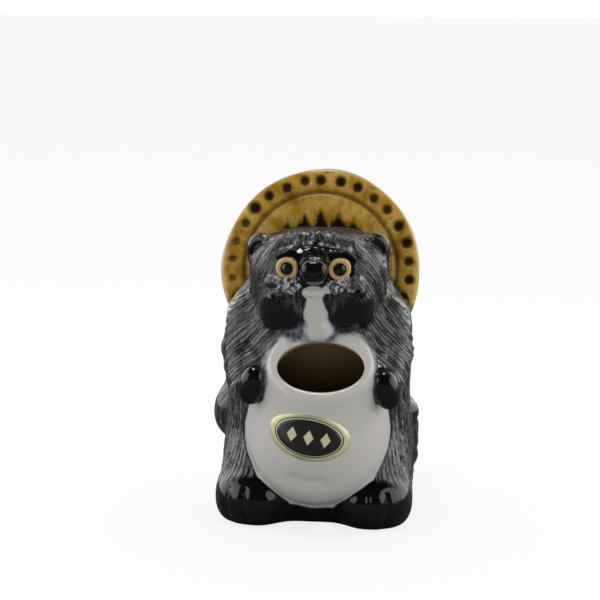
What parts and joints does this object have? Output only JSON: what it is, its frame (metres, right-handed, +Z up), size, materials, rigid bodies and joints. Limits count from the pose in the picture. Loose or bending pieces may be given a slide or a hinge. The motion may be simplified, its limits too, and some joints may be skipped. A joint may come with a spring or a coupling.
{
  "type": "tanuki statue",
  "caption": "Glazed stoneware tanuki figure, hollow, with a straw hat on its back and a white belly pot whose oval mouth opens to the front.",
  "frame": {"origin": "middle of the base slab's underside, on the surface that the figure stands on", "axes": "+Z up, the face and belly look along -Y, +X towards the animal's own left side"},
  "size_m": [0.0815, 0.0859, 0.1299],
  "materials": {
    "black_glaze": "gloss",
    "white_glaze": "gloss",
    "amber_glaze": "gloss",
    "eye_glaze": "gloss",
    "pupil_glaze": "gloss",
    "foil": "satin"
  },
  "bodies": {
    "root": {"account_book": "black_glaze", "base_plate": "black_glaze", "belly_pot": "white_glaze", "chin": "white_glaze", "face_roll": "black_glaze", "front_shell": "black_glaze", "hat_brim": "amber_glaze", "hat_crown": "amber_glaze", "head_shell": "black_glaze", "label": "foil", "left_arm": "black_glaze", "left_cheek": "black_glaze", "left_ear": "black_glaze", "left_eye": "eye_glaze", "left_foot": "black_glaze", "left_jowl": "black_glaze", "left_paw": "black_glaze", "left_pupil": "pupil_glaze", "muzzle": "black_glaze", "nose": "black_glaze", "rear_shell": "black_glaze", "right_arm": "black_glaze", "right_cheek": "black_glaze", "right_ear": "black_glaze", "right_eye": "eye_glaze", "right_foot": "black_glaze", "right_jowl": "black_glaze", "right_paw": "black_glaze", "right_pupil": "pupil_glaze", "sake_flask": "black_glaze", "tail": "black_glaze", "throat": "white_glaze"}
  },
  "joints": []
}
